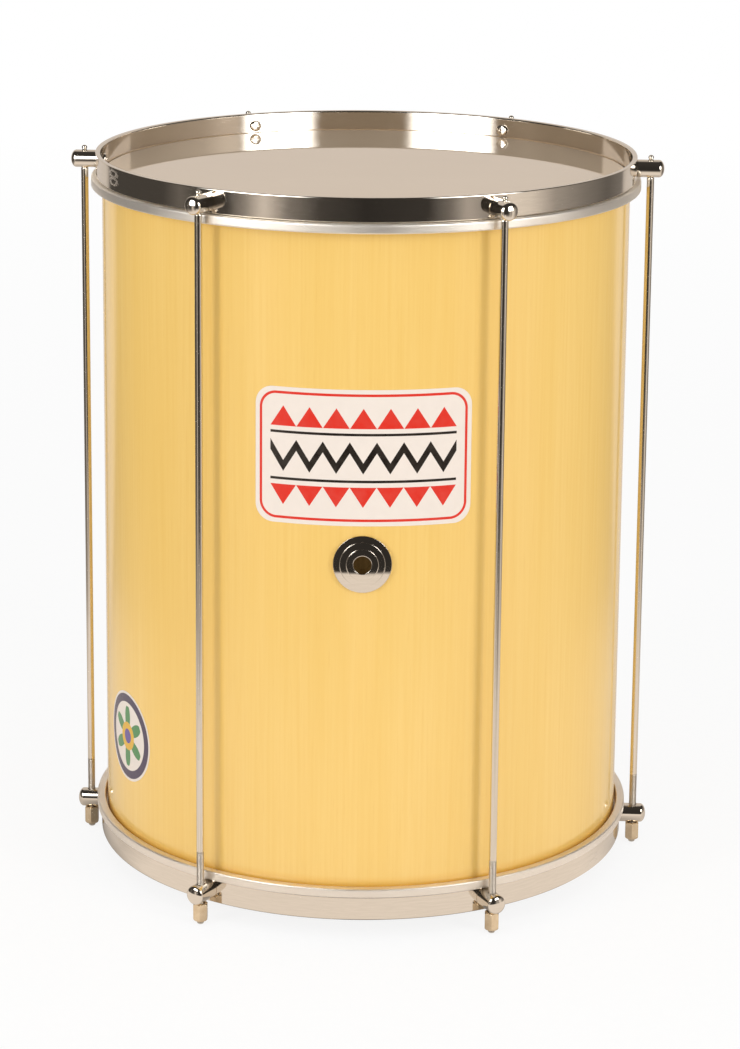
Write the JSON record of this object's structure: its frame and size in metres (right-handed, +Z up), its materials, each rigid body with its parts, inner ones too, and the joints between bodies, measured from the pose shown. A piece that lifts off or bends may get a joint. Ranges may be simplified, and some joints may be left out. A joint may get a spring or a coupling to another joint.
{
  "type": "surdo drum",
  "caption": "Surdo bass drum: veneered shell, film heads in flesh hoops, flat counter hoops with radial posts, tension rods with hex nuts, stepped vent.",
  "frame": {"origin": "on the floor, on the drum's axis, between the lower ends of the rods that it stands on", "axes": "+Z runs up the drum's axis to the playing head, and the vent faces -Y"},
  "size_m": [0.5142, 0.476, 0.6294],
  "materials": {
    "lacquered_veneer": "clear gloss lacquer over pale yellow veneer with fine upright grain",
    "head_film": "smooth glossy beige film",
    "chrome": "polished",
    "aluminium": "bright drawn",
    "screw_steel": "polished",
    "rod_steel": "polished",
    "nut_steel": "warm nickel plate"
  },
  "bodies": {
    "drum": {"shell": "lacquered_veneer", "vent_grommet": "chrome", "vent_ring_nut": "chrome", "bottom_head": "head_film", "bottom_flesh_hoop": "aluminium", "bottom_counter_hoop": "chrome", "bottom_post_1": "chrome", "bottom_screw_1": "screw_steel", "bottom_post_2": "chrome", "bottom_screw_2": "screw_steel", "bottom_post_3": "chrome", "bottom_screw_3": "screw_steel", "bottom_post_4": "chrome", "bottom_screw_4": "screw_steel", "bottom_post_5": "chrome", "bottom_screw_5": "screw_steel", "bottom_post_6": "chrome", "bottom_screw_6": "screw_steel"},
    "top_rim": {"top_head": "head_film", "top_flesh_hoop": "aluminium", "top_counter_hoop": "chrome", "top_post_1": "chrome", "top_screw_1": "screw_steel", "rod_1": "rod_steel", "top_post_2": "chrome", "top_screw_2": "screw_steel", "rod_2": "rod_steel", "top_post_3": "chrome", "top_screw_3": "screw_steel", "rod_3": "rod_steel", "top_post_4": "chrome", "top_screw_4": "screw_steel", "rod_4": "rod_steel", "top_post_5": "chrome", "top_screw_5": "screw_steel", "rod_5": "rod_steel", "top_post_6": "chrome", "top_screw_6": "screw_steel", "rod_6": "rod_steel"},
    "nut_1_turning": {"nut_1": "nut_steel"},
    "nut_2_turning": {"nut_2": "nut_steel"},
    "nut_3_turning": {"nut_3": "nut_steel"},
    "nut_4_turning": {"nut_4": "nut_steel"},
    "nut_5_turning": {"nut_5": "nut_steel"},
    "nut_6_turning": {"nut_6": "nut_steel"}
  },
  "joints": [
    {"name": "head_lift", "type": "slide", "parent": "drum", "child": "top_rim", "axis": [0, 0, 1], "range_m": [0, 0.0127]},
    {"name": "nut_turn_1", "type": "hinge", "parent": "drum", "child": "nut_1_turning", "pos_m": [0.11121, -0.2192, 0.011], "axis": [0, 0, 1], "range_deg": [-3600, 0]},
    {"name": "nut_turn_2", "type": "hinge", "parent": "drum", "child": "nut_2_turning", "pos_m": [0.24544, -0.01329, 0.011], "axis": [0, 0, 1], "range_deg": [-3600, 0]},
    {"name": "nut_turn_3", "type": "hinge", "parent": "drum", "child": "nut_3_turning", "pos_m": [0.13423, 0.20591, 0.011], "axis": [0, 0, 1], "range_deg": [-3600, 0]},
    {"name": "nut_turn_4", "type": "hinge", "parent": "drum", "child": "nut_4_turning", "pos_m": [-0.11121, 0.2192, 0.011], "axis": [0, 0, 1], "range_deg": [-3600, 0]},
    {"name": "nut_turn_5", "type": "hinge", "parent": "drum", "child": "nut_5_turning", "pos_m": [-0.24544, 0.01329, 0.011], "axis": [0, 0, 1], "range_deg": [-3600, 0]},
    {"name": "nut_turn_6", "type": "hinge", "parent": "drum", "child": "nut_6_turning", "pos_m": [-0.13423, -0.20591, 0.011], "axis": [0, 0, 1], "range_deg": [-3600, 0]}
  ],
  "couplings": [
    {"joint": "nut_turn_1", "follows": "head_lift", "rad_per_m": -4947.4},
    {"joint": "nut_turn_2", "follows": "head_lift", "rad_per_m": -4947.4},
    {"joint": "nut_turn_3", "follows": "head_lift", "rad_per_m": -4947.4},
    {"joint": "nut_turn_4", "follows": "head_lift", "rad_per_m": -4947.4},
    {"joint": "nut_turn_5", "follows": "head_lift", "rad_per_m": -4947.4},
    {"joint": "nut_turn_6", "follows": "head_lift", "rad_per_m": -4947.4}
  ]
}
